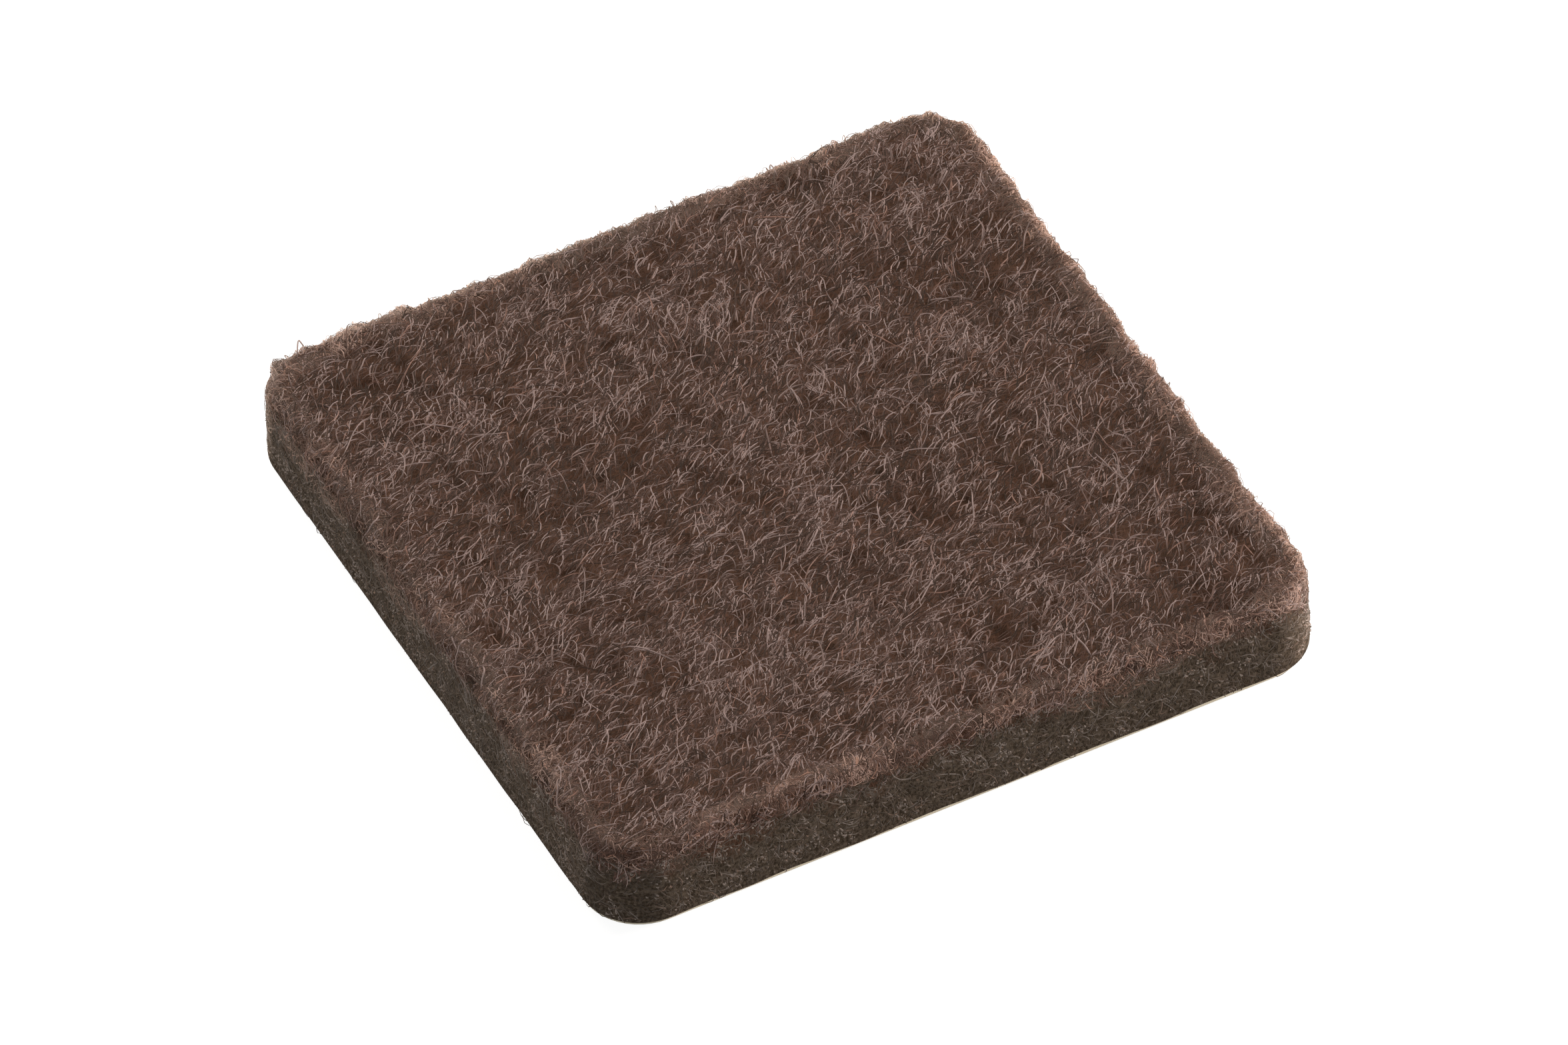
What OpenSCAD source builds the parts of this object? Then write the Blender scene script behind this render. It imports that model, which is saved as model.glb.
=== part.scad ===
// Self-adhesive felt furniture slider, as it lies on a table before use: a square block of needle felt
// on double-coated tape, with the release liner still on the tape.
// The felt face, which slides on the floor, looks up. +Z is up, and the origin is the middle of the
// liner's lower face. Sizes are in millimetres.

/* [Outline] */
// Width of the pad along X, measured over the felt's lower edge
pad_w = 25; // [15:0.5:50]
// Length of the pad along Y, measured over the felt's lower edge
pad_l = 25; // [15:0.5:50]
// Radius of the die-cut corners, measured at the felt's lower edge
corner_r = 2; // [1.5:0.1:5]

/* [Felt] */
// Thickness of the needle felt
felt_t = 2.75; // [2:0.05:6]
// Radius of the soft upper edge, where loose fibres fall away from the cut
nap_edge_r = 0.45; // [0.2:0.05:0.9]
// How far the cut side leans in on its way up, because the die squeezes the felt
cut_lean = 0.1; // [0:0.02:0.3]

/* [Tape and liner] */
// Thickness of the adhesive coat that bonds the tape to the felt
felt_coat_t = 0.06; // [0.03:0.01:0.15]
// Thickness of the film between the two adhesive coats
carrier_t = 0.03; // [0.02:0.01:0.1]
// Thickness of the adhesive coat that bonds the pad to a chair leg
leg_coat_t = 0.06; // [0.03:0.01:0.15]
// Thickness of the silicone-coated paper liner
liner_t = 0.1; // [0.05:0.01:0.2]
// How far tape and liner stay inside the felt's lower edge, which springs out after the cut
film_inset = 0.1; // [0:0.02:0.3]

/* [Hidden] */
$fn = 64;

// The layers stack face to face, from the liner up.
leg_coat_z = liner_t;
carrier_z = leg_coat_z + leg_coat_t;
felt_coat_z = carrier_z + carrier_t;
felt_z = felt_coat_z + felt_coat_t;

// Corner centres of the outline, which every layer shares.
corner_x = pad_w / 2 - corner_r;
corner_y = pad_l / 2 - corner_r;

// The soft upper edge is an arc that meets the leaning side and the flat top without a crease.
lean_angle = atan2(cut_lean, felt_t);
edge_arc_z = felt_t - nap_edge_r;
edge_arc_x = corner_r - edge_arc_z * tan(lean_angle) - nap_edge_r / cos(lean_angle);
edge_meet_x = edge_arc_x + nap_edge_r * cos(lean_angle);
edge_meet_z = edge_arc_z + nap_edge_r * sin(lean_angle);

// Section of the felt from a corner's centre out: the distance along X, the height along Y.
// The circle touches the leaning side and the top, and fills the notch that the outline leaves for it.
module felt_edge_section() {
    polygon([
        [0, 0],
        [corner_r, 0],
        [edge_meet_x, edge_meet_z],
        [edge_arc_x, edge_arc_z],
        [edge_arc_x, felt_t],
        [0, felt_t],
    ]);
    translate([edge_arc_x, edge_arc_z])
        circle(r = nap_edge_r);
}

// The outline of a film that stays inside the felt's lower edge by film_inset.
module film_outline() {
    film_r = corner_r - film_inset;
    square([2 * corner_x, pad_l - 2 * film_inset], center = true);
    square([pad_w - 2 * film_inset, 2 * corner_y], center = true);
    for (sx = [-1, 1], sy = [-1, 1])
        translate([sx * corner_x, sy * corner_y])
            circle(r = film_r);
}

module film(z, thickness) {
    translate([0, 0, z])
        linear_extrude(thickness)
            film_outline();
}

// One straight side of the felt: the edge section drawn along the side's length.
module felt_side(length) {
    rotate([90, 0, 0])
        linear_extrude(length, center = true)
            felt_edge_section();
}

module felt_pad() {
    color("#5b493f")
        translate([0, 0, felt_z])
            union() {
                translate([-corner_x, -corner_y, 0])
                    cube([2 * corner_x, 2 * corner_y, felt_t]);
                for (side = [0, 180]) {
                    rotate(side)
                        translate([corner_x, 0, 0])
                            felt_side(2 * corner_y);
                    rotate(side + 90)
                        translate([corner_y, 0, 0])
                            felt_side(2 * corner_x);
                }
                for (quarter = [0 : 3]) {
                    sx = (quarter == 0 || quarter == 3) ? 1 : -1;
                    sy = quarter < 2 ? 1 : -1;
                    translate([sx * corner_x, sy * corner_y, 0])
                        rotate(90 * quarter)
                            rotate_extrude(angle = 90)
                                felt_edge_section();
                }
            }
}

module felt_adhesive() {
    color("#d8cfae")
        film(felt_coat_z, felt_coat_t);
}

module tape_carrier() {
    color("#e9e6dc")
        film(carrier_z, carrier_t);
}

module leg_adhesive() {
    color("#d8cfae")
        film(leg_coat_z, leg_coat_t);
}

module release_liner() {
    color("#efe6cf")
        film(0, liner_t);
}

felt_pad();
felt_adhesive();
tape_carrier();
leg_adhesive();
release_liner();
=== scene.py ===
# %% [markdown]
# # A felt furniture slider, fibre by fibre
# The object is a square of brown needle felt, 25 mm wide and 3 mm thick, that sticks under a chair leg.
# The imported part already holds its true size, its layers and its one movement: the pad lifts off its
# paper liner. This script gives it its looks. Felt is not a surface but a tangle, so after a solid core
# most of the work goes into thousands of single fibres that are laid on the core as low closed ridges.

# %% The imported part
import math

import bpy
import numpy as np
from mathutils import Matrix, Vector


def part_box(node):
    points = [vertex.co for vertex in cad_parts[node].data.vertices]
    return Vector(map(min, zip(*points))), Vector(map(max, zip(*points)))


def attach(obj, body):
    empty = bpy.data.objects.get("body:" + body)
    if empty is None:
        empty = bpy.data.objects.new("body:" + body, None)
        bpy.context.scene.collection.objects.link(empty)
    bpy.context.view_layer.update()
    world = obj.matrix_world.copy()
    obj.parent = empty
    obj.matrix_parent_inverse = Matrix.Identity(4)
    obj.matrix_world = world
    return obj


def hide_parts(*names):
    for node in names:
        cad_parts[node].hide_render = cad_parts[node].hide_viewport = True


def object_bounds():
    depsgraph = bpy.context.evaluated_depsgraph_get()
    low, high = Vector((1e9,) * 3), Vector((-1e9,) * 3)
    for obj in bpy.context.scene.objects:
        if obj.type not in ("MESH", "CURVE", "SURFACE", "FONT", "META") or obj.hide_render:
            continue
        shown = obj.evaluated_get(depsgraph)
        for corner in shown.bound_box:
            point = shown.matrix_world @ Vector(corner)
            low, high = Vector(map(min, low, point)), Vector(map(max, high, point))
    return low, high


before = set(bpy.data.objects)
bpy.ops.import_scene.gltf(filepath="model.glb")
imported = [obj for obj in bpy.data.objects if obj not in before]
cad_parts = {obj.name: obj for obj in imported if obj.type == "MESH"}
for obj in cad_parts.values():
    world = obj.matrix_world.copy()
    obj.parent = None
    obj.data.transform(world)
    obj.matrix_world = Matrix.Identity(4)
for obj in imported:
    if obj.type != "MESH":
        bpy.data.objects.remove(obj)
cad_low, cad_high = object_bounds()
felt_low, felt_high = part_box("felt_pad")
MM = 0.001
print("nodes:", sorted(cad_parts))
print("felt, mm:", [round(v / MM, 2) for v in (*felt_low, *felt_high)])

# %% [markdown]
# ## The camera
# The photograph was taken from far away with a long lens, so the square looks almost like a drawing in
# parallel perspective. The angles below make the square's corners fall where they do in the photograph.
# Shift or a turned camera could both bring the pad to its place in the frame; sliding the whole camera
# sideways is simplest, because with so long a lens it hardly changes what the camera sees of the pad.

# %% Camera
PHOTO_W = 2352
PHOTO_H = 1568
AZIMUTH = math.radians(-26.14)
ELEVATION = math.radians(45.53)
ROLL = math.radians(-2.09)
CAMERA_DISTANCE = 560 * MM
PIXELS_PER_METRE = 48_340
PAD_FOOT_PX = (1178.5, 816.8)
SENSOR_MM = 36
NEAREST_SEEN = 0.01
FARTHEST_SEEN = 20

back = Vector((
    math.sin(AZIMUTH) * math.cos(ELEVATION),
    -math.cos(AZIMUTH) * math.cos(ELEVATION),
    math.sin(ELEVATION),
))
level_right = Vector((math.cos(AZIMUTH), math.sin(AZIMUTH), 0))
level_up = back.cross(level_right)
right = math.cos(ROLL) * level_right + math.sin(ROLL) * level_up
up = math.cos(ROLL) * level_up - math.sin(ROLL) * level_right
slide_right = (PHOTO_W / 2 - PAD_FOOT_PX[0]) / PIXELS_PER_METRE
slide_up = (PAD_FOOT_PX[1] - PHOTO_H / 2) / PIXELS_PER_METRE

camera_data = bpy.data.cameras.new("photo_camera")
camera_data.sensor_fit = "HORIZONTAL"
camera_data.sensor_width = SENSOR_MM
camera_data.lens = PIXELS_PER_METRE * CAMERA_DISTANCE / PHOTO_W * SENSOR_MM
camera_data.clip_start = NEAREST_SEEN
camera_data.clip_end = FARTHEST_SEEN
camera = bpy.data.objects.new("photo_camera", camera_data)
bpy.context.scene.collection.objects.link(camera)
turn = Matrix((right, up, back)).transposed().to_4x4()
camera.matrix_world = Matrix.Translation(back * CAMERA_DISTANCE + right * slide_right + up * slide_up) @ turn
bpy.context.scene.camera = camera
bpy.context.scene.view_settings.view_transform = "Standard"
print("lens, mm:", round(camera_data.lens, 1))

# %% [markdown]
# ## Helpers for node trees
# Every finish below is a small tree of shader nodes. They could be clicked together in the node editor, but
# code keeps them next to the shapes they belong to. Most steps repeat, such as a new node whose numbers are
# set and whose inputs are linked, so a few helpers take them up.

# %% Helpers for node trees
def feed(tree, socket, value):
    """Links another node's output to an input, or sets the input to a number."""
    if isinstance(value, bpy.types.NodeSocket):
        tree.links.new(value, socket)
    else:
        socket.default_value = value


def set_inputs(node, values):
    """Sets a node's inputs, by their names, to numbers or colours."""
    for name, value in values.items():
        node.inputs[name].default_value = value


def math_node(tree, operation, first, second=0.0):
    """A math node of that operation on two values, each a socket or a number; gives its output."""
    node = tree.nodes.new("ShaderNodeMath")
    node.operation = operation
    feed(tree, node.inputs[0], first)
    feed(tree, node.inputs[1], second)
    return node.outputs[0]


def ranged(tree, value, from_low, from_high, to_low, to_high):
    """A map range node from one stretch of values to another, whose ends are sockets or numbers."""
    node = tree.nodes.new("ShaderNodeMapRange")
    tree.links.new(value, node.inputs["Value"])
    ends = {"From Min": from_low, "From Max": from_high, "To Min": to_low, "To Max": to_high}
    for name, end in ends.items():
        feed(tree, node.inputs[name], end)
    return node.outputs[0]


def new_finish(name):
    """A new material, its node tree and its Principled shader."""
    material = bpy.data.materials.new(name)
    material.use_nodes = True
    tree = material.node_tree
    return material, tree, tree.nodes["Principled BSDF"]


print("node helpers ready")

# %% [markdown]
# ## Floor and light
# The pad lies on plain white. In the photograph the felt's face is bright and both visible sides are dark,
# so most light comes from an even sky and from a soft lamp high behind the pad. A low lamp at the back, a
# little to the left, warms the far edges and grazes the left side, and one low on the right does so for the
# right corner. The sky and the floor look white to the camera, and the floor glows so much that the pad's
# shadow is very pale; to the felt they give only a plain level of light, at which a colour renders about as
# it is written.

# %% Floor and light
FLOOR_SIZE = 3.0
FLOOR_DROP = 0.02 * MM
SKY_LIGHT = 0.43
FLOOR_GREY = 0.86
FLOOR_SHADOW = 0.22
FLOOR_GLOW = 0.90
WHITE = (1, 1, 1, 1)


def camera_sees(tree):
    """1 for rays that show the background to the camera, straight, in a reflection or through glass, and 0
    for all others."""
    path = tree.nodes.new("ShaderNodeLightPath")
    either = math_node(tree, "MAXIMUM", path.outputs["Is Camera Ray"], path.outputs["Is Glossy Ray"])
    return math_node(tree, "MAXIMUM", either, path.outputs["Is Transmission Ray"])


def white_world():
    """A sky of strength SKY_LIGHT to the object and of strength 1, which is white, to the camera."""
    world = bpy.data.worlds.new("white_sky")
    world.use_nodes = True
    tree = world.node_tree
    sky = tree.nodes["Background"]
    sky.inputs["Color"].default_value = WHITE
    tree.links.new(ranged(tree, camera_sees(tree), 0.0, 1.0, SKY_LIGHT, 1.0), sky.inputs["Strength"])
    bpy.context.scene.world = world


def white_floor():
    """A wide matt floor that takes the pad's shadow. To the camera it is darker but glows up to white, so
    that the shadow looks pale."""
    half = FLOOR_SIZE / 2
    z = cad_low.z - FLOOR_DROP
    mesh = bpy.data.meshes.new("floor")
    corners = [(-half, -half, z), (half, -half, z), (half, half, z), (-half, half, z)]
    mesh.from_pydata(corners, [], [(0, 1, 2, 3)])
    floor = bpy.data.objects.new("floor", mesh)
    bpy.context.scene.collection.objects.link(floor)
    paint, tree, shader = new_finish("white_floor")
    set_inputs(shader, {"Roughness": 1.0, "Specular IOR Level": 0.0, "Emission Color": WHITE})
    seen = camera_sees(tree)
    tree.links.new(ranged(tree, seen, 0.0, 1.0, FLOOR_GREY, FLOOR_SHADOW), shader.inputs["Base Color"])
    tree.links.new(ranged(tree, seen, 0.0, 1.0, 0.0, FLOOR_GLOW), shader.inputs["Emission Strength"])
    mesh.materials.append(paint)


def softbox(name, place, size, power, colour):
    """A square lamp of that size at place, in metres, turned to face the pad."""
    data = bpy.data.lights.new(name, "AREA")
    data.size = size
    data.energy = power
    data.color = colour
    lamp = bpy.data.objects.new(name, data)
    lamp.location = place
    lamp.rotation_euler = (-Vector(place)).to_track_quat("-Z", "Y").to_euler()
    bpy.context.scene.collection.objects.link(lamp)


white_world()
white_floor()
softbox("high_back_light", place=(0.07, 0.10, 0.22), size=0.22, power=0.14, colour=(1.0, 0.97, 0.94))
softbox("back_rim_light", place=(-0.04, 0.50, 0.12), size=0.19, power=2.9, colour=(1.0, 0.89, 0.78))
softbox("right_rim_light", place=(0.50, -0.07, 0.07), size=0.14, power=5.8, colour=(1.0, 0.88, 0.80))

# %% [markdown]
# ## Soft random fields
# Nothing in felt is even: height, tone and the lie of the fibres all drift from place to place. Random
# numbers on a lattice, joined smoothly, give such drifts. Blender's own textures could do it too, but the
# same field has to steer the core, the fibres and their tones alike, so it is worked out here as arrays.

# %% Soft random fields
LATTICE = 64


def soft_noise(x, y, z, cell, seed):
    """Smooth noise from -1 to 1: random numbers on a lattice of that cell size, joined by smoothstep
    weights."""
    table = np.random.default_rng(seed).uniform(-1, 1, (LATTICE, LATTICE, LATTICE))
    place = np.stack(np.broadcast_arrays(x, y, z), -1) / cell + LATTICE / 2
    low = np.floor(place).astype(int)
    part = place - low
    part = part * part * (3 - 2 * part)
    total = 0.0
    for corner in np.ndindex(2, 2, 2):
        weight = np.prod(np.where(corner, part, 1 - part), axis=-1)
        i, j, k = np.moveaxis((low + corner) % LATTICE, -1, 0)
        total = total + weight * table[i, j, k]
    return total


def smoothstep(low, high, value):
    """0 at low and before it, 1 at high and after it, and a smooth S between them."""
    t = np.clip((value - low) / (high - low), 0, 1)
    return t * t * (3 - 2 * t)


sample = soft_noise(np.linspace(0, 20, 2000) * MM, 0, 0, 1 * MM, seed=1)
print("noise from", round(float(sample.min()), 2), "to", round(float(sample.max()), 2))

# %% [markdown]
# ## The felt's surface as a folded sheet
# The pad was stamped out of a sheet, so its top, its soft edge and its cut side are treated as one sheet
# that lies flat on top, bends over the edge in a small arc and runs down the leaning side. A point of the
# sheet is given by the nearest point of the flat's outline, the outward direction there, and how far it lies
# beyond the outline. Core and fibres both use this map, so they fit each other everywhere.

# %% The folded sheet
CORNER_R = 2.0 * MM
EDGE_R = 0.45 * MM
SIDE_LEAN = 0.1 * MM
FELT_T = felt_high.z - felt_low.z
EDGE_ARC = EDGE_R * math.pi / 2
SIDE_RUN = FELT_T - EDGE_R
FLAT_INSET = EDGE_R + SIDE_LEAN * SIDE_RUN / FELT_T
FLAT_HALF = felt_high.x - FLAT_INSET
FLAT_CORNER_R = CORNER_R - FLAT_INSET
CORNER_POINTS = 33
RIM_POINTS = 720
TINY = 1e-9


def outline(count):
    """Points and outward directions, evenly spaced, on the flat's outline: four quarter circles and the
    straight sides between them, run through counter-clockwise."""
    quarter = np.linspace(0, math.pi / 2, CORNER_POINTS)
    angle = np.concatenate([quarter + k * math.pi / 2 for k in range(5)])[: 4 * CORNER_POINTS + 1]
    turn_centre = FLAT_HALF - FLAT_CORNER_R
    corner = np.arange(len(angle)) // CORNER_POINTS % 4
    to_right = np.choose(corner, [1, -1, -1, 1])
    to_back = np.choose(corner, [1, 1, -1, -1])
    centre = turn_centre * np.stack([to_right, to_back], 1)
    outward = np.stack([np.cos(angle), np.sin(angle)], 1)
    point = centre + FLAT_CORNER_R * outward
    run = np.concatenate([[0], np.cumsum(np.linalg.norm(np.diff(point, axis=0), axis=1))])
    even = np.linspace(0, run[-1], count, endpoint=False)
    at = [np.interp(even, run, column) for column in (*point.T, *outward.T)]
    return np.stack(at[:2], 1), np.stack(at[2:], 1), run[-1]


def fold(foot, outward, beyond):
    """Place and normal of the sheet's point that lies beyond the outline by that distance: the arc turns
    by beyond / EDGE_R up to a quarter circle, and the rest runs straight down the leaning side."""
    bend = np.clip(beyond, 0, EDGE_ARC) / EDGE_R
    down = np.clip(beyond - EDGE_ARC, 0, None)
    out = EDGE_R * np.sin(bend) + np.minimum(beyond, 0) + down * SIDE_LEAN / FELT_T
    z = felt_high.z - EDGE_R * (1 - np.cos(bend)) - down
    place = np.concatenate([foot + outward * out[..., None], z[..., None]], -1)
    normal = np.concatenate([outward * np.sin(bend)[..., None], np.cos(bend)[..., None]], -1)
    return place, normal


def sheet(u, v):
    """Place and normal of the sheet's point u, v: the signed distance to the rounded square gives how far it
    lies beyond the outline, and its slope the outward direction."""
    point = np.stack([u, v], -1)
    past = np.abs(point) - (FLAT_HALF - FLAT_CORNER_R)
    outside = np.maximum(past, 0)
    reach = np.linalg.norm(outside, axis=-1)
    inside = np.minimum(past.max(-1), 0)
    distance = reach + inside - FLAT_CORNER_R
    outward = np.sign(point) * outside / np.maximum(reach, TINY)[..., None]
    beyond = np.maximum(distance, 0)
    return fold(point - outward * beyond[..., None], outward, beyond)


rim, rim_out, RIM_LENGTH = outline(RIM_POINTS)
print("outline of the flat, mm:", round(RIM_LENGTH / MM, 2))

# %% [markdown]
# ## The felt core
# Under the loose fibres lies felt so dense that it looks like a dark, lumpy solid. It could be a sculpted
# or remeshed block, but a grid is enough: rings of the outline shrink towards the middle of the top, fold
# over the edge, run down the side and close under the pad. Lumps, clefts and small pits are pressed into
# the grid along its normals. The core lies a little below the true surface, which the fibres fill. At the
# bottom it springs out into a thin lip that hangs past the tape's edge.

# %% Heights of the nap
SWELL_MM = 0.04
TUFT_MM = 0.045
CLEFT_MM = 0.04
PIT_MM = 0.05
LUMP_MM = 0.20
HEIGHT_ON_SIDE = 0.35


def nap_height(place, normal):
    """How far the nap stands above or below its mean: swells of 3 mm, tufts of 1.1 mm, clefts of 0.5 mm and
    pits, weaker on the cut side than on top, and lumps of 0.5 mm where the edge is round."""
    x, y, z = np.moveaxis(place, -1, 0)
    swell = SWELL_MM * soft_noise(x, y, z, 3.0 * MM, seed=11)
    tuft = TUFT_MM * soft_noise(x, y, z, 1.1 * MM, seed=12)
    cleft = CLEFT_MM * soft_noise(x, y, z, 0.5 * MM, seed=13)
    pit = -PIT_MM * smoothstep(0.1, 0.7, soft_noise(x, y, z, 0.45 * MM, seed=14))
    upward = normal[..., 2]
    roundness = smoothstep(0.05, 0.5, upward) * smoothstep(0.0, 0.25, 1 - upward)
    lump = LUMP_MM * soft_noise(x, y, z, 0.5 * MM, seed=15) * roundness
    share = HEIGHT_ON_SIDE + (1 - HEIGHT_ON_SIDE) * upward
    return ((swell + tuft + cleft + pit) * share + lump) * MM


flat_height = nap_height(*sheet(*np.meshgrid(*2 * [np.linspace(-10, 10, 101) * MM]))) / MM
print("nap on the flat, mm:", [round(float(v), 2) for v in (flat_height.min(), flat_height.max())])

# %% Felt core shape
CORE_DEPTH_TOP = 0.04 * MM
CORE_DEPTH_SIDE = 0.03 * MM
FOOT_FADE = 0.4 * MM
LIP_DROP = 0.11 * MM
LIP_WIDTH = 0.085 * MM
LIP_WAVE = 1.3 * MM
# Nap heights, in mm, at which the painted shade of a hollow starts and is deepest.
HOLLOW_SHADE_STARTS_MM = 0.03
HOLLOW_SHADE_DEEPEST_MM = -0.10
RINGS_TOP = 96
RINGS_EDGE = 7
RINGS_SIDE = 26
RINGS_UNDER = 4


def felt_core_grid():
    """Rings by outline points: shrink the outline for the top, fold it over the edge and side, turn it in
    under the lip, and shrink it again under the pad. Each point moves along its normal by the nap's height
    less the core's depth, and by nothing at the bottom edge. Also gives how deep in a hollow it lies, for
    the painted shade in each hollow."""
    shrink = np.linspace(0, 1, RINGS_TOP + 1)[1:]
    beyond = np.concatenate([
        np.linspace(0, EDGE_ARC, RINGS_EDGE + 1)[1:],
        EDGE_ARC + np.linspace(0, SIDE_RUN, RINGS_SIDE + 1)[1:],
    ])
    foot = np.concatenate([shrink[:, None, None] * rim, np.broadcast_to(rim, (len(beyond), *rim.shape))])
    steps = np.concatenate([np.zeros(RINGS_TOP), beyond])
    outward = np.broadcast_to(rim_out, foot.shape)
    place, normal = fold(foot, outward, np.broadcast_to(steps[:, None], foot.shape[:2]))
    fade = smoothstep(0, FOOT_FADE, place[..., 2] - felt_low.z)
    depth = CORE_DEPTH_SIDE + (CORE_DEPTH_TOP - CORE_DEPTH_SIDE) * normal[..., 2]
    height = nap_height(place, normal) * fade
    place = place + normal * (height - depth * fade)[..., None]

    wave = 0.6 + 0.4 * soft_noise(rim[:, 0], rim[:, 1], 0, LIP_WAVE, seed=16)
    drop = np.stack([0 * wave, 0 * wave, LIP_DROP * wave], 1)
    inward = np.concatenate([rim_out * LIP_WIDTH, np.zeros((len(rim), 1))], 1)
    lip = np.stack([place[-1] - drop, place[-1] - drop - inward, place[-1] - inward])
    under = np.linspace(1, 0, RINGS_UNDER + 1)[1:-1]
    below = np.stack([lip[-1] * [s, s, 1] for s in under])
    # How deep each point lies in a hollow, for the painted shade there.
    hollow = smoothstep(HOLLOW_SHADE_STARTS_MM, HOLLOW_SHADE_DEEPEST_MM, height / MM)
    no_hollow = np.zeros((len(lip) + len(below), len(rim)))
    return np.concatenate([place, lip, below]), np.concatenate([hollow, no_hollow])


def mesh_object(name, vertices, quads, triangles, strand_uv=None, normals=None):
    """A smooth mesh object at the origin from arrays of corners, four-cornered and three-cornered faces.
    strand_uv gives each vertex a place in the map named OFBake, and normals the direction it is shaded
    for."""
    mesh = bpy.data.meshes.new(name)
    corners = np.concatenate([quads.ravel(), triangles.ravel()]).astype(np.int32)
    starts = np.concatenate([
        np.arange(len(quads)) * 4,
        len(quads) * 4 + np.arange(len(triangles)) * 3,
    ]).astype(np.int32)
    mesh.vertices.add(len(vertices))
    mesh.vertices.foreach_set("co", vertices.astype(np.float32).ravel())
    mesh.loops.add(len(corners))
    mesh.loops.foreach_set("vertex_index", corners)
    mesh.polygons.add(len(starts))
    mesh.polygons.foreach_set("loop_start", starts)
    mesh.update(calc_edges=True)
    mesh.shade_smooth()
    if strand_uv is not None:
        layer = mesh.uv_layers.new(name="OFBake")
        layer.data.foreach_set("uv", strand_uv[corners].astype(np.float32).ravel())
    if normals is not None:
        mesh.normals_split_custom_set_from_vertices(normals)
    thing = bpy.data.objects.new(name, mesh)
    bpy.context.scene.collection.objects.link(thing)
    return thing


def ring_faces(rings, around):
    """Four-cornered faces between neighbouring rings of a grid that closes round the outline."""
    r, a = np.meshgrid(np.arange(rings - 1), np.arange(around), indexing="ij")
    b = (a + 1) % around
    this = r * around
    following = this + around
    return np.stack([this + a, following + a, following + b, this + b], -1).reshape(-1, 4)


grid, hollow_shades = felt_core_grid()
ring_count, around = grid.shape[:2]
top_pole = ring_count * around
poles = np.array([[0, 0, grid[0, :, 2].mean()], [0, 0, felt_low.z]])
here = np.arange(around)
after = (here + 1) % around
last = (ring_count - 1) * around
fans = np.concatenate([
    np.stack([np.full(around, top_pole), here, after], 1),
    np.stack([np.full(around, top_pole + 1), last + after, last + here], 1),
])
core_vertices = np.concatenate([grid.reshape(-1, 3), poles])
felt_core = mesh_object("felt_core", core_vertices, ring_faces(ring_count, around), fans)
# Painted shade: the core's finish darkens and warms the colour by this.
hollow_shade_mark = felt_core.data.attributes.new("hollow", "FLOAT", "POINT")
hollow_shade_mark.data.foreach_set("value", np.append(hollow_shades.ravel(), [0, 0]).astype(np.float32))
print("felt core triangles:", 2 * (ring_count - 1) * around + len(fans))

# %% [markdown]
# ## Fibres as ridges
# A fibre is a line of a few points with a width. Blender's hair or bevelled curves could draw it, but a
# mesh with three sides, a low ridge with two feet, is lighter, exports as it is and can be worked out for
# thousands of fibres at once. Light passes through real fibres and leaves no dark side on them. So a ridge
# is shaded mostly as the felt under it would be, with normals that lean towards the sheet's, as in leaves
# and grass for films, and fibres cast no shadows on each other; the core alone casts the pad's shadow.
# A fibre's map, OFBake, holds its tone across and the way along it, so one node group paints them all.

# %% Fibre ridges
SIDES = 3
RIDGE_TOP = 0.5
RIDGE_FOOT = 0.3
WIDTH_AT_ENDS = 0.55
WIDTH_GAIN = 0.45
TONE_STRIPS = 256
IN_STRIP = (0.5, 0.92, 0.08)
PIECE_TRIANGLES = 190_000
TINY_SLOPE = 1e-6


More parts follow.
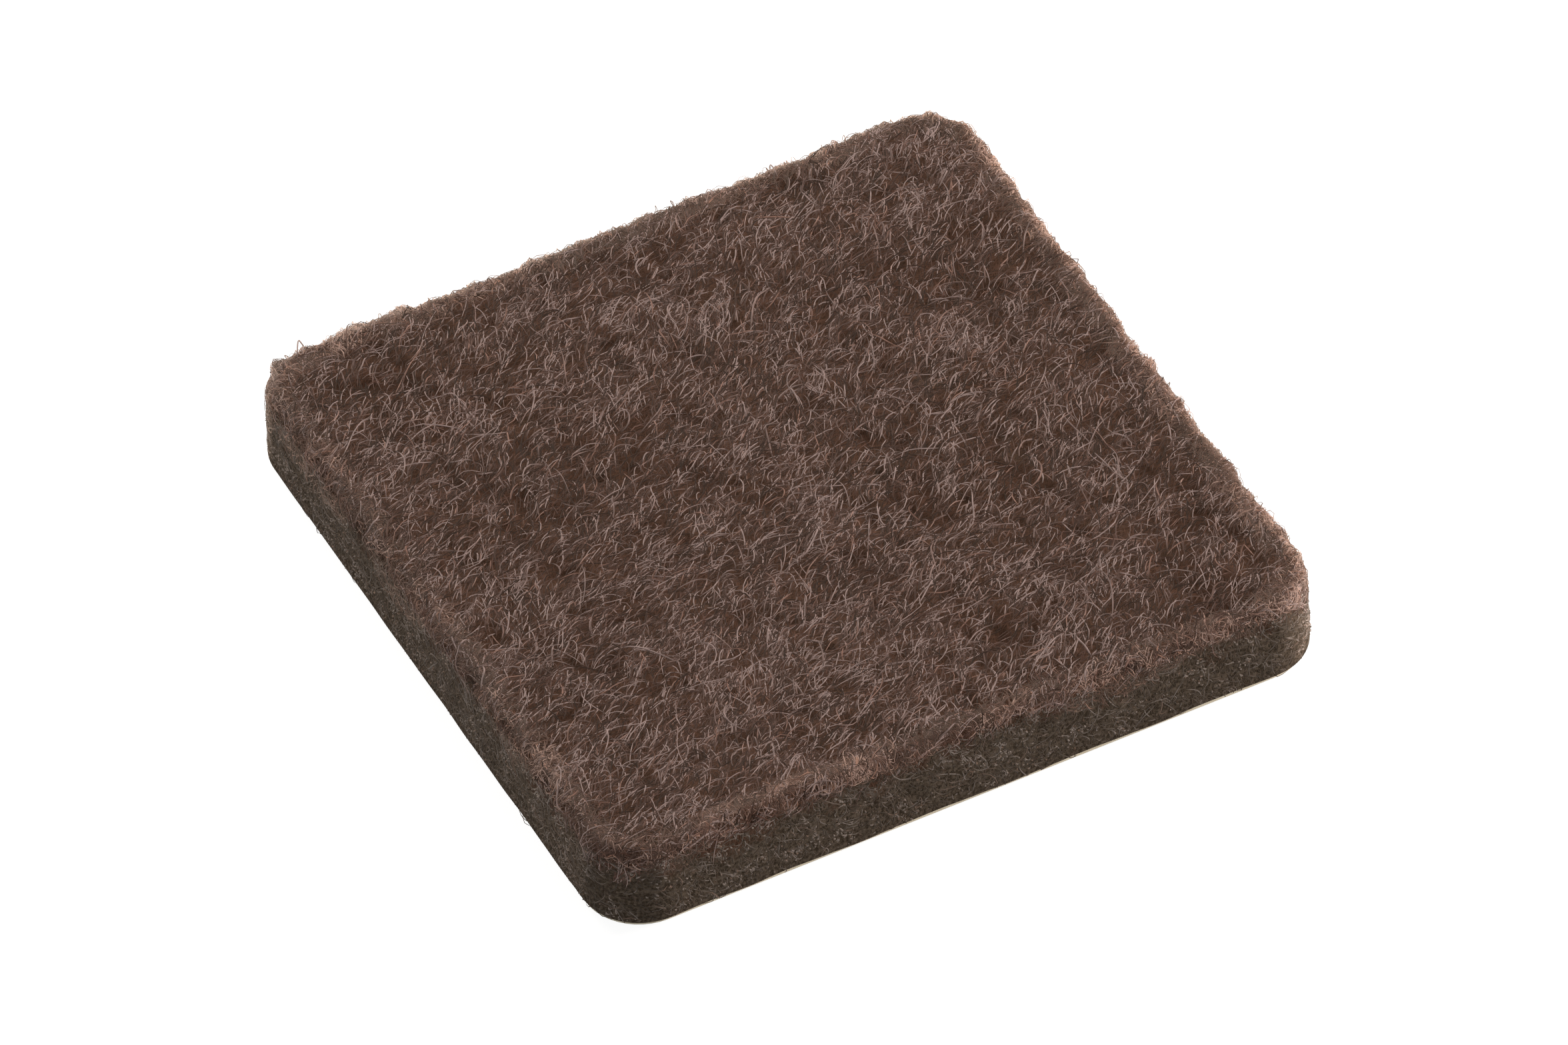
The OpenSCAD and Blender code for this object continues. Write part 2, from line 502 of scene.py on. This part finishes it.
def ridge_arrays(line, felt_normal, radius, tone, roundness):
    """Vertices, faces, map and normals of closed ridges along the lines, an array of fibres by points by 3.
    A ridge tapers to the line's two end points, and every point between has a ring square to the line: a
    top away from the felt and a foot on either side. Roundness is the share of the ridge's own normal."""
    fibres, points = line.shape[:2]
    rings = points - 2
    along = line[:, 2:] - line[:, :-2]
    along /= np.linalg.norm(along, axis=-1, keepdims=True)
    away = felt_normal[:, 1:-1]
    ridge = away - along * np.sum(away * along, -1, keepdims=True)
    ridge /= np.maximum(np.linalg.norm(ridge, axis=-1, keepdims=True), TINY_SLOPE)
    foot = np.cross(along, ridge)
    step = np.linspace(0, 1, points)
    width = radius[:, None] * (WIDTH_AT_ENDS + WIDTH_GAIN * np.sin(math.pi * step[1:-1]))
    ring = np.stack([RIDGE_TOP * ridge, foot - RIDGE_FOOT * ridge, -foot - RIDGE_FOOT * ridge], 2)
    hoops = line[:, 1:-1, None] + width[..., None, None] * ring
    vertices = np.concatenate([line[:, :1], hoops.reshape(fibres, -1, 3), line[:, -1:]], 1)
    leaning = felt_normal[:, 1:-1, None] * (1 - roundness) + ring * roundness
    leaning /= np.linalg.norm(leaning, axis=-1, keepdims=True)
    normals = np.concatenate([felt_normal[:, :1], leaning.reshape(fibres, -1, 3), felt_normal[:, -1:]], 1)

    s = np.arange(SIDES)
    t = (s + 1) % SIDES
    tip = 1 + rings * SIDES
    ring_start = np.arange(rings - 1)[:, None] * SIDES + 1
    wall = np.stack([ring_start + s, ring_start + t, ring_start + SIDES + t, ring_start + SIDES + s], -1)
    root_fan = np.stack([0 * s, 1 + t, 1 + s], -1)
    tip_fan = np.stack([tip - SIDES + s, tip - SIDES + t, 0 * s + tip], -1)
    first = np.arange(fibres)[:, None, None] * (tip + 1)
    quads = (first + wall.reshape(1, -1, 4)).reshape(-1, 4)
    triangles = (first + np.concatenate([root_fan, tip_fan])).reshape(-1, 3)

    strip = np.floor(np.clip(tone, 0, 0.999) * TONE_STRIPS)
    across = np.concatenate([IN_STRIP[:1], np.tile(IN_STRIP, rings), IN_STRIP[:1]])
    ahead = np.concatenate([[0], np.repeat(step[1:-1], SIDES), [1]])
    uv = np.stack(np.broadcast_arrays((strip[:, None] + across) / TONE_STRIPS, ahead), -1)
    return vertices.reshape(-1, 3), quads, triangles, uv.reshape(-1, 2), normals.reshape(-1, 3)


def fibre_pieces(name, line, felt_normal, radius, tone, material, roundness=0.25):
    """Splits the fibres into pieces that stay under PIECE_TRIANGLES and puts them on the pad."""
    each = 2 * SIDES * (line.shape[1] - 2)
    parts = math.ceil(len(line) * each / PIECE_TRIANGLES)
    for number, chosen in enumerate(np.array_split(np.arange(len(line)), parts), 1):
        ridges = ridge_arrays(line[chosen], felt_normal[chosen], radius[chosen], tone[chosen], roundness)
        piece = mesh_object(f"{name}_{number}", *ridges)
        piece.data.materials.append(material)
        piece.visible_shadow = False
        piece.visible_diffuse = False
        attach(piece, "pad")
    print(name, len(line), "fibres,", len(line) * each, "triangles in", parts, "pieces")


print("a ridge of 7 points has", 2 * SIDES * (7 - 2), "triangles")

# %% [markdown]
# ## Felt colours
# The felt is spun from brown fibres that differ a little, from dark chocolate to pinkish beige, and one in
# five or so is redder. On top of that come painted shade and light: a fibre fades into painted gap shade
# where its ends dive into the felt, its flanks are painted darker as shade beside its ridge, and its
# brightness wavers along it as painted glints. A node group turns the place in the fibre's map into such a
# colour, and each felt finish sets its own colours in it: the nap on top is warm, the cut side is more olive.
# Roughness and sheen are the same all over, so they sit on the shader itself.

# %% Felt colours
REDDISH = (0.65, 0.95)
# Painted shade on a fibre's flanks: how far from the ridge it reaches, and the share of brightness left.
FLANK_AT = 0.42
FLANK_SHADE_SHARE = 0.55
# Painted shade at a fibre's ends: between these values of sin(pi v) it fades into the gap shade.
END_SHADE_FADE = (0.25, 0.95)
RIPPLE_PER_STRIP = 3.7
RIPPLES_ALONG = 4.0
RIPPLE_SPAN = (0.3, 0.7)


def srgb(red, green, blue):
    """A colour from 0-255 screen values, as linear light with alpha 1."""
    value = np.array([red, green, blue]) / 255
    linear = np.where(value <= 0.04045, value / 12.92, ((value + 0.055) / 1.055) ** 2.4)
    return (*linear.tolist(), 1.0)


def mixed(tree, factor, first, second, blend="MIX"):
    """A colour mix node, whose factor is a socket or a number; gives its result."""
    node = tree.nodes.new("ShaderNodeMix")
    node.data_type = "RGBA"
    node.blend_type = blend
    feed(tree, node.inputs["Factor"], factor)
    tree.links.new(first, node.inputs["A"])
    tree.links.new(second, node.inputs["B"])
    return node.outputs["Result"]


def noise_of(tree, where, size, detail=2.0, distortion=0.0, dimensions="3D"):
    """Noise with patches of about that size; gives its value."""
    node = tree.nodes.new("ShaderNodeTexNoise")
    node.noise_dimensions = dimensions
    set_inputs(node, {"Scale": 1 / size, "Detail": detail, "Distortion": distortion})
    tree.links.new(where, node.inputs["Vector"])
    return node.outputs["Fac"]


def fibre_tone_group():
    """Node group: tone from Dark over Middle to Light; some strips of the map are multiplied by Tint. The
    brightness rises and falls along the fibre by the waver input, as painted glints, and a share of it is
    left on the flanks either side of the ridge, as painted shade; both ends fade into the ground input, the
    painted shade between fibres, as sin(pi v) falls."""
    group = bpy.data.node_groups.new("fibre_tone", "ShaderNodeTree")
    face = group.interface
    face.new_socket("Strand", in_out="INPUT", socket_type="NodeSocketVector")
    for shade in ("Dark", "Middle", "Light", "Tint", "Gap Shade"):
        face.new_socket(shade, in_out="INPUT", socket_type="NodeSocketColor")
    face.new_socket("Glint Waver", in_out="INPUT", socket_type="NodeSocketFloat")
    face.new_socket("Colour", in_out="OUTPUT", socket_type="NodeSocketColor")
    given = group.nodes.new("NodeGroupInput")
    result = group.nodes.new("NodeGroupOutput")
    split = group.nodes.new("ShaderNodeSeparateXYZ")
    group.links.new(given.outputs["Strand"], split.inputs[0])
    tone, way = split.outputs["X"], split.outputs["Y"]

    to_middle = ranged(group, tone, 0.0, 0.5, 0.0, 1.0)
    to_light = ranged(group, tone, 0.5, 1.0, 0.0, 1.0)
    low = mixed(group, to_middle, given.outputs["Dark"], given.outputs["Middle"])
    plain = mixed(group, to_light, low, given.outputs["Light"])
    strip = math_node(group, "FLOOR", math_node(group, "MULTIPLY", tone, TONE_STRIPS))
    chance = group.nodes.new("ShaderNodeTexWhiteNoise")
    chance.noise_dimensions = "1D"
    group.links.new(strip, chance.inputs["W"])
    reddish = ranged(group, chance.outputs["Value"], *REDDISH, 0.0, 1.0)
    tinted = mixed(group, reddish, plain, given.outputs["Tint"], "MULTIPLY")

    # Painted shade: the flanks either side of the ridge are darker than its top.
    from_ridge = math_node(group, "PINGPONG", math_node(group, "MULTIPLY", tone, TONE_STRIPS), 1.0)
    from_ridge = math_node(group, "ABSOLUTE", math_node(group, "SUBTRACT", from_ridge, 0.5))
    ridge = ranged(group, from_ridge, 0.0, FLANK_AT, 1.0, FLANK_SHADE_SHARE)
    # Painted glints: the brightness rises and falls along the fibre.
    spot = group.nodes.new("ShaderNodeCombineXYZ")
    group.links.new(math_node(group, "MULTIPLY", strip, RIPPLE_PER_STRIP), spot.inputs["X"])
    group.links.new(math_node(group, "MULTIPLY", way, RIPPLES_ALONG), spot.inputs["Y"])
    ripple = noise_of(group, spot.outputs[0], 1.0, detail=1.0, dimensions="2D")
    least = math_node(group, "SUBTRACT", 1.0, given.outputs["Glint Waver"])
    most = math_node(group, "ADD", 1.0, given.outputs["Glint Waver"])
    level = math_node(group, "MULTIPLY", ranged(group, ripple, *RIPPLE_SPAN, least, most), ridge)
    shaded = group.nodes.new("ShaderNodeVectorMath")
    shaded.operation = "SCALE"
    group.links.new(tinted, shaded.inputs[0])
    group.links.new(level, shaded.inputs["Scale"])

    # Painted shade: both ends fade into the dark between fibres where they dive into the felt.
    arch = math_node(group, "SINE", math_node(group, "MULTIPLY", way, math.pi))
    clear = ranged(group, arch, *END_SHADE_FADE, 0.0, 1.0)
    faded = mixed(group, clear, given.outputs["Gap Shade"], shaded.outputs[0])
    group.links.new(faded, result.inputs["Colour"])
    return group


fibre_tone = fibre_tone_group()
print("fibre tone group:", len(fibre_tone.nodes), "nodes")

# %% Felt finishes
REDDISH_TINT = (1.0, 0.80, 0.68, 1)
# Painted glints along the fibres: how far their brightness rises and falls.
GLINT_WAVER = 0.3
SHEEN_TINT = srgb(250, 222, 200)
SHEEN_ROUGHNESS = 0.4
# Painted shade between the fibres, which the fibre ends fade into: darkest on top, lighter on the edge.
TOP_GAP_SHADE = srgb(47, 31, 20)
SIDE_GAP_SHADE = srgb(60, 50, 38)
EDGE_GAP_SHADE = srgb(72, 51, 40)


def felt_gloss(shader, roughness, gloss, sheen):
    """Sets how felt shines, which is the same all over a piece."""
    set_inputs(shader, {
        "Roughness": roughness,
        "Specular IOR Level": gloss,
        "Sheen Weight": sheen,
        "Sheen Roughness": SHEEN_ROUGHNESS,
        "Sheen Tint": SHEEN_TINT,
    })


def fibre_finish(name, dark, middle, light, gap_shade, sheen, roughness=0.6, gloss=0.2):
    """A felt fibre's material: the tone group's colour on a soft, slightly shiny shader with some sheen."""
    material, tree, shader = new_finish(name)
    strand = tree.nodes.new("ShaderNodeUVMap")
    strand.uv_map = "OFBake"
    tone = tree.nodes.new("ShaderNodeGroup")
    tone.node_tree = fibre_tone
    set_inputs(tone, {"Dark": dark, "Middle": middle, "Light": light, "Gap Shade": gap_shade})
    set_inputs(tone, {"Tint": REDDISH_TINT, "Glint Waver": GLINT_WAVER})
    tree.links.new(strand.outputs["UV"], tone.inputs["Strand"])
    tree.links.new(tone.outputs["Colour"], shader.inputs["Base Color"])
    felt_gloss(shader, roughness, gloss, sheen)
    return material


nap_finish = fibre_finish(
    "nap_fibre", srgb(48, 32, 22), srgb(91, 69, 61), srgb(156, 136, 131), TOP_GAP_SHADE, sheen=0.04, gloss=0.1
)
# Painted glow: the felt's brown, lightened to tan for light that comes through the fibres at the edge.
edge_and_glow_finish = fibre_finish(
    "edge_fibre_and_glow", srgb(60, 41, 30), srgb(100, 74, 63), srgb(176, 147, 134), EDGE_GAP_SHADE, sheen=0.5
)
side_finish = fibre_finish(
    "cut_side_fibre", srgb(54, 45, 35), srgb(80, 70, 62), srgb(122, 112, 106), SIDE_GAP_SHADE, sheen=0.2
)
end_finish = fibre_finish(
    "cut_fibre_end", srgb(54, 45, 35), srgb(82, 72, 64), srgb(140, 129, 122), SIDE_GAP_SHADE, sheen=0.2,
    roughness=0.7, gloss=0.1,
)
print("felt finishes:", nap_finish.name, edge_and_glow_finish.name, side_finish.name, end_finish.name)

# %% [markdown]
# ## Finish of the core
# Between the fibres the eye meets darker felt that is still fibrous, only out of reach of the light. As the
# fibres cast no shadows, that shade is painted into the core's dark colours. Noise that is stretched a lot
# looks like a bundle of fibres; three such noises that cross each other, of which the brightest shows, look
# like a mat of them. On the cut side the mat gives way to a fine grain of cut ends, along a line that a wider
# noise makes ragged. Both drive the colour and a small bump, and the attribute "hollow", worked out with the
# grid, paints darker, warmer shade into the hollows.

# %% Finish of the core
LIE_ANGLE = math.radians(34)
CROSSING_ANGLES = (0.6, -0.7)
STREAK_SIZE = (0.7 * MM, 0.05 * MM, 0.2 * MM)
GRAIN = 0.12 * MM
RAGGED_SIZE = 1.2 * MM
RAGGED_SWING = 0.5 * MM
ALL_SIDE_BELOW = 1.1 * MM
ALL_TOP_BELOW = 0.4 * MM
# Painted shade in a hollow: the colour is multiplied towards this.
HOLLOW_SHADE_TINT = (0.74, 0.70, 0.66, 1)


def ramp_of(tree, value, low, low_colour, high, high_colour):
    """A colour ramp from one value and colour to another."""
    ramp = tree.nodes.new("ShaderNodeValToRGB")
    ends = ramp.color_ramp.elements
    ends[0].position, ends[0].color = low, low_colour
    ends[1].position, ends[1].color = high, high_colour
    tree.links.new(value, ramp.inputs["Fac"])
    return ramp.outputs["Color"]


def bumped(tree, shader, height, strength, depth):
    """A bump of that strength and depth on the shader's normal."""
    bump = tree.nodes.new("ShaderNodeBump")
    set_inputs(bump, {"Strength": strength, "Distance": depth})
    tree.links.new(height, bump.inputs["Height"])
    tree.links.new(bump.outputs[0], shader.inputs["Normal"])


def streaks(tree, where, angle):
    """Noise stretched along that angle in the pad's plane."""
    lie = tree.nodes.new("ShaderNodeMapping")
    lie.vector_type = "TEXTURE"
    set_inputs(lie, {"Rotation": (0, 0, angle), "Scale": STREAK_SIZE})
    tree.links.new(where, lie.inputs["Vector"])
    return noise_of(tree, lie.outputs[0], 1.0, distortion=1.2)


def core_finish():
    """Felt painted dark as the shade between the fibres: a mat of crossed streaks on top and a grain of cut
    ends on the side, in colour and bump, and darker, warmer painted shade in each hollow."""
    material, tree, shader = new_finish("felt_core")
    where = tree.nodes.new("ShaderNodeTexCoord").outputs["Object"]
    mat = streaks(tree, where, LIE_ANGLE)
    for crossing in CROSSING_ANGLES:
        mat = math_node(tree, "MAXIMUM", mat, streaks(tree, where, LIE_ANGLE + crossing))
    grain = noise_of(tree, where, GRAIN, detail=3.0)
    # Painted shade: the felt's brown, darkened in both ramps as the shade between fibres, which cast no
    # shadows.
    top_colour = ramp_of(tree, mat, 0.45, srgb(47, 32, 21), 0.75, srgb(86, 62, 51))
    side_colour = ramp_of(tree, grain, 0.38, srgb(49, 41, 32), 0.62, srgb(86, 76, 66))

    height = tree.nodes.new("ShaderNodeSeparateXYZ")
    tree.links.new(where, height.inputs[0])
    swing = ranged(tree, noise_of(tree, where, RAGGED_SIZE), 0.3, 0.7, -RAGGED_SWING, RAGGED_SWING)
    level = math_node(tree, "ADD", height.outputs["Z"], swing)
    on_top = ranged(tree, level, felt_high.z - ALL_SIDE_BELOW, felt_high.z - ALL_TOP_BELOW, 0.0, 1.0)
    plain = mixed(tree, on_top, side_colour, top_colour)
    # Painted shade: the deeper in a hollow, the darker and warmer the colour.
    hollow = tree.nodes.new("ShaderNodeAttribute")
    hollow.attribute_name = "hollow"
    depth = ramp_of(tree, hollow.outputs["Fac"], 0.0, WHITE, 1.0, HOLLOW_SHADE_TINT)
    tree.links.new(mixed(tree, 1.0, plain, depth, "MULTIPLY"), shader.inputs["Base Color"])

    relief = math_node(tree, "ADD", math_node(tree, "MULTIPLY", mat, on_top), grain)
    bumped(tree, shader, relief, strength=0.7, depth=0.03 * MM)
    felt_gloss(shader, roughness=0.9, gloss=0.05, sheen=0.03)
    return material


felt_core.data.materials.append(core_finish())
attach(felt_core, "pad")
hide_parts("felt_pad")
print("core replaces felt_pad")

# %% [markdown]
# ## The nap on top
# Seen close, the top is a crowd of fine curved fibres. They lie mostly one way, from needling and brushing,
# and they come in small tufts that bend alike and have much the same tone. So a tuft is drawn first, and its
# fibres differ from it a little. Three layers are laid over the core: a flat mat with nearly the core's tone,
# the nap proper, and a few loose pale fibres that arch over the rest. Tufts crowd together and are paler in
# some clouds, and are few in the felt's hollows; their tone also carries painted light where the felt stands
# high and painted shade where it lies low. Fibres that hang over the edge are painted lighter, as a glow of
# light through them.

# %% Lines of fibres
CLOSE_ON_SIDE = 0.4
SWINGS = 1.3


def wander(heading, bend, wave, length, points):
    """Curled lines in a plane, about their own middle: the heading turns by bend from end to end and swings
    by wave, and the steps along it are summed up."""
    s = np.linspace(0, 1, points)
    swing = wave[:, None] * np.sin(2 * math.pi * (SWINGS * s + bend[:, None]))
    turned = heading[:, None] + bend[:, None] * (s - 0.5) + swing
    step = length[:, None] / (points - 1)
    across = np.cumsum(np.cos(turned) * step, 1)
    ahead = np.cumsum(np.sin(turned) * step, 1)
    return across - across.mean(1, keepdims=True), ahead - ahead.mean(1, keepdims=True)


def raised(place, normal, sink, arch):
    """Lifts lines off the sheet by the nap's height, less sink, plus arch * sin(pi s) along each line. On the
    edge and the side they keep closer to it."""
    s = np.linspace(0, 1, place.shape[1])
    close = CLOSE_ON_SIDE + (1 - CLOSE_ON_SIDE) * normal[..., 2]
    lift = nap_height(place, normal) + close * (arch[:, None] * np.sin(math.pi * s) - sink[:, None])
    return place + normal * lift[..., None]


bow = wander(np.zeros(1), np.ones(1), np.zeros(1), np.full(1, 1.0 * MM), 7)
print("a fibre of 1 mm that bends by 1 reaches, mm:", round(float(np.ptp(bow[0]) / MM), 2))

# %% The nap on top
NAP_OVERHANG = 0.6 * MM
CLOUDS = ((0.04, 7.0 * MM, 6), (0.10, 2.6 * MM, 7), (0.16, 0.8 * MM, 8), (0.08, 0.45 * MM, 9))
DRIFT = 0.4
DRIFT_SIZE = 2.4 * MM
LIE_SPREAD = 0.28
OWN_HEADING = 0.5
OWN_BEND = 0.6
OWN_WAVE = 0.12
TUFT_WIDTH = 0.18 * MM
HIGHEST_ARCH = 0.35 * MM
# Painted glow: how much lighter fibres are that hang over the edge, for light through them.
OUTER_GLOW_TONE = 0.25


def nap(tufts, per_tuft, tone, tone_spread, length, arch, radius, points, bend, seed):
    """Tufts scattered over the sheet, each with its own heading, bend, tone and height; lengths in metres. A
    tuft stays with a chance of 0.55 + 0.75 cloud + 1.6 height, the height in mm, and its tone follows both
    too: the cloud as a drift of tone, the height as painted light where the felt stands high and as painted
    shade where it lies low. A fibre's tone adds a spread of its own, and fibres that hang over the edge are
    painted lighter, as a glow of light through them."""
    rng = np.random.default_rng(seed)
    reach = FLAT_HALF + NAP_OVERHANG
    x, y = rng.uniform(-reach, reach, (2, 3 * tufts))
    cloud = sum(share * soft_noise(x, y, 0, size, field) for share, size, field in CLOUDS)
    height = nap_height(*sheet(x, y)) / MM
    crowded = rng.uniform(0, 1, 3 * tufts) < 0.55 + 0.75 * cloud + 1.6 * height
    x, y, cloud, height = (value[crowded][:tufts] for value in (x, y, cloud, height))
    drift = DRIFT * soft_noise(x, y, 0, DRIFT_SIZE, seed + 1)
    tuft_heading = LIE_ANGLE + drift + rng.normal(0, LIE_SPREAD, tufts)
    # Painted light and shade: tufts are lighter where the felt stands high and darker where it lies low.
    tone_with_painted_light = 2.4 * cloud + 2.8 * height + 0.5 * rng.normal(0, 1.0, tufts)
    tuft_tone = tone + tone_spread * tone_with_painted_light
    tuft_bend = rng.normal(0, bend, tufts)
    tuft_arch = rng.gamma(2.0, arch / 2, tufts)
    total = tufts * per_tuft

    def each(value, spread):
        """The tuft's value for each of its fibres, with a spread of their own."""
        return np.repeat(value, per_tuft) + rng.normal(0, spread, total)

    across, ahead = wander(
        each(tuft_heading, OWN_HEADING),
        each(tuft_bend, OWN_BEND),
        rng.normal(0, OWN_WAVE, total),
        length * np.clip(rng.lognormal(0, 0.4, total), 0.4, 2.6),
        points,
    )
    place, normal = sheet(each(x, TUFT_WIDTH)[:, None] + across, each(y, TUFT_WIDTH)[:, None] + ahead)
    sink = rng.uniform(0.10, 0.18, total) * MM
    line = raised(place, normal, sink, sink + np.clip(each(tuft_arch, arch / 3), 0, HIGHEST_ARCH))
    # Painted glow of light through fibres that hang over the edge: the further down, the lighter.
    painted_glow = OUTER_GLOW_TONE * (1 - normal[..., 2].mean(1))
    each_tone = np.repeat(tuft_tone, per_tuft) + tone_spread * rng.gamma(1.3, 1.0, total) + painted_glow
    return line, normal, radius * np.clip(rng.lognormal(0, 0.22, total), 0.6, 1.5), each_tone


mat_layer = nap(
    tufts=7500, per_tuft=3, tone=0.08, tone_spread=0.26, length=0.7 * MM, arch=0.01 * MM, radius=0.017 * MM,
    points=5, bend=0.8, seed=20,
)
nap_layer = nap(
    tufts=7500, per_tuft=3, tone=-0.06, tone_spread=0.42, length=0.95 * MM, arch=0.05 * MM, radius=0.016 * MM,
    points=7, bend=1.1, seed=24,
)
loose_layer = nap(
    tufts=1300, per_tuft=1, tone=0.6, tone_spread=0.14, length=1.3 * MM, arch=0.09 * MM, radius=0.020 * MM,
    points=13, bend=1.8, seed=28,
)
fibre_pieces("mat", *mat_layer, nap_finish)
fibre_pieces("nap", *nap_layer, nap_finish)
fibre_pieces("loose", *loose_layer, nap_finish)

# %% [markdown]
# ## The soft edge
# Along the cut the nap has lost its hold: fibres stand out over the edge and droop down the side, further
# in one place than in another, and light gets through them; that glow is painted into their colour as tan.
# A finer fuzz stands among them, painted paler still for the same glow. Both are laid in the coordinates of
# the rim, the way round it and the distance beyond it, and lie mostly across it.

# %% The soft edge
RIM_STEPS = 4096
ACROSS_RIM = math.pi / 2
SAG_SIZE = 1.5 * MM
BELOW_CUT = 0.1 * MM


def rim_at(way):
    """Foot and outward direction at that way round the outline, read off a fine table of it."""
    foot, outward, length = outline(RIM_STEPS)
    mark = np.arange(RIM_STEPS) * length / RIM_STEPS
    columns = [np.interp(way, mark, column, period=length) for column in (*foot.T, *outward.T)]
    return np.stack(columns[:2], -1), np.stack(columns[2:], -1)


def rim_fibres(count, reach, heading, bend, length, arch, radius, tone, spread, points, seed, sag=0.0,
               patch=1.3 * MM, patch_tone=0.5):
    """Fibres along the rim: reach gives the least and greatest distance beyond the flat's outline of their
    middles, which with some sag hang lower in one place than in another, and heading the mean and spread of
    their angle to the outline, a quarter turn being outwards. Their tone drifts by patch_tone in patches of
    that size, and has a spread from fibre to fibre."""
    rng = np.random.default_rng(seed)
    way = rng.uniform(0, RIM_LENGTH, count)
    hang = 1 - sag * (0.5 + 0.7 * soft_noise(way, 0, 0, SAG_SIZE, seed + 2))
    deep = reach[0] + (reach[1] - reach[0]) * rng.uniform(0, 1, count) * hang
    run = length * np.clip(rng.lognormal(0, 0.4, count), 0.4, 2.5)
    wave = rng.normal(0, 0.3, count)
    across, ahead = wander(rng.normal(*heading, count), rng.normal(0, bend, count), wave, run, points)
    beyond = np.minimum(deep[:, None] + ahead, EDGE_ARC + SIDE_RUN + BELOW_CUT)
    place, normal = fold(*rim_at(way[:, None] + across), beyond)
    sink = rng.uniform(0.06, 0.14, count) * MM
    line = raised(place, normal, sink, sink + arch * rng.gamma(2.0, 0.5, count))
    cloud = patch_tone * soft_noise(way, deep, 0, patch, seed + 1)
    return line, normal, radius * rng.uniform(0.75, 1.25, count), tone + cloud + rng.normal(0, spread, count)


edge_layer = rim_fibres(
    count=7500, reach=(-0.4 * MM, 1.3 * MM), heading=(ACROSS_RIM, 0.9), bend=0.9, length=0.7 * MM,
    arch=0.05 * MM, radius=0.017 * MM, tone=0.20, spread=0.28, points=8, seed=50, sag=0.8,
)
# Painted glow: the fuzz has a high, pale tone for light that comes through it.
fuzz_layer = rim_fibres(
    count=5000, reach=(0.0, 0.6 * MM), heading=(ACROSS_RIM, 1.2), bend=0.9, length=0.45 * MM,
    arch=0.07 * MM, radius=0.013 * MM, tone=0.55, spread=0.28, points=6, seed=55,
)
fibre_pieces("edge", *edge_layer, edge_and_glow_finish)
fibre_pieces("fuzz", *fuzz_layer, edge_and_glow_finish)

# %% [markdown]
# ## The cut side
# The die cuts the fibres, so the side shows their ends as specks, short pieces that lie in it and a few
# strands that were pulled out of it. Specks and short pieces are pale in some small patches and dark in
# others. Specks are the smallest ridges, with a single ring.

# %% The cut side
CUT_SIDE = (EDGE_ARC * 0.75, EDGE_ARC + SIDE_RUN)
CUT_PATCH = 0.4 * MM
speck_layer = rim_fibres(
    count=13000, reach=CUT_SIDE, heading=(0.4, 1.2), bend=0.2, length=0.15 * MM, arch=0.04 * MM,
    radius=0.034 * MM, tone=0.40, spread=0.26, points=3, seed=60, patch=CUT_PATCH, patch_tone=0.9,
)
stub_layer = rim_fibres(
    count=6000, reach=CUT_SIDE, heading=(0.6, 0.9), bend=1.0, length=0.5 * MM, arch=0.02 * MM,
    radius=0.017 * MM, tone=0.32, spread=0.24, points=5, seed=64, patch=CUT_PATCH, patch_tone=0.7,
)
strand_layer = rim_fibres(
    count=700, reach=CUT_SIDE, heading=(0.8, 0.9), bend=2.2, length=0.9 * MM, arch=0.06 * MM,
    radius=0.018 * MM, tone=0.7, spread=0.14, points=9, seed=68,
)
fibre_pieces("side_specks", *speck_layer, end_finish, roundness=0.3)
fibre_pieces("side_stubs", *stub_layer, side_finish)
fibre_pieces("side_strands", *strand_layer, side_finish)

# %% [markdown]
# ## Tape and liner
# Under the felt lie two coats of clear adhesive on a thin film, and the paper liner that keeps them from
# sticking until the pad is used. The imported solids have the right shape, so they only get finishes: the
# adhesive is clear but takes its colour from the felt behind it, and the liner is cream paper with a
# slight gloss from its silicone coat.

# %% Tape and liner
def layer_finish(name, low, high, cell, roughness, bump_depth):
    """A thin layer's material: cloudy noise between two colours, and a bump of the same clouds."""
    material, tree, shader = new_finish(name)
    where = tree.nodes.new("ShaderNodeTexCoord").outputs["Object"]
    cloud = noise_of(tree, where, cell, detail=6.0)
    tree.links.new(ramp_of(tree, cloud, 0.35, low, 0.65, high), shader.inputs["Base Color"])
    bumped(tree, shader, cloud, strength=0.6, depth=bump_depth)
    shader.inputs["Roughness"].default_value = roughness
    return material


adhesive = layer_finish(
    "clear_adhesive", srgb(104, 90, 70), srgb(132, 116, 92), cell=0.8 * MM, roughness=0.18,
    bump_depth=0.03 * MM,
)
film = layer_finish(
    "tape_film", srgb(120, 108, 88), srgb(140, 128, 108), cell=3.0 * MM, roughness=0.12, bump_depth=0.01 * MM
)
paper = layer_finish(
    "siliconed_paper", srgb(214, 203, 178), srgb(228, 219, 197), cell=0.5 * MM, roughness=0.42,
    bump_depth=0.01 * MM,
)
for node, finish in (
    ("felt_adhesive", adhesive),
    ("leg_adhesive", adhesive),
    ("tape_carrier", film),
    ("release_liner", paper),
):
    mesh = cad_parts[node].data
    mesh.materials.clear()
    mesh.materials.append(finish)
print("layers finished:", adhesive.name, film.name, paper.name)
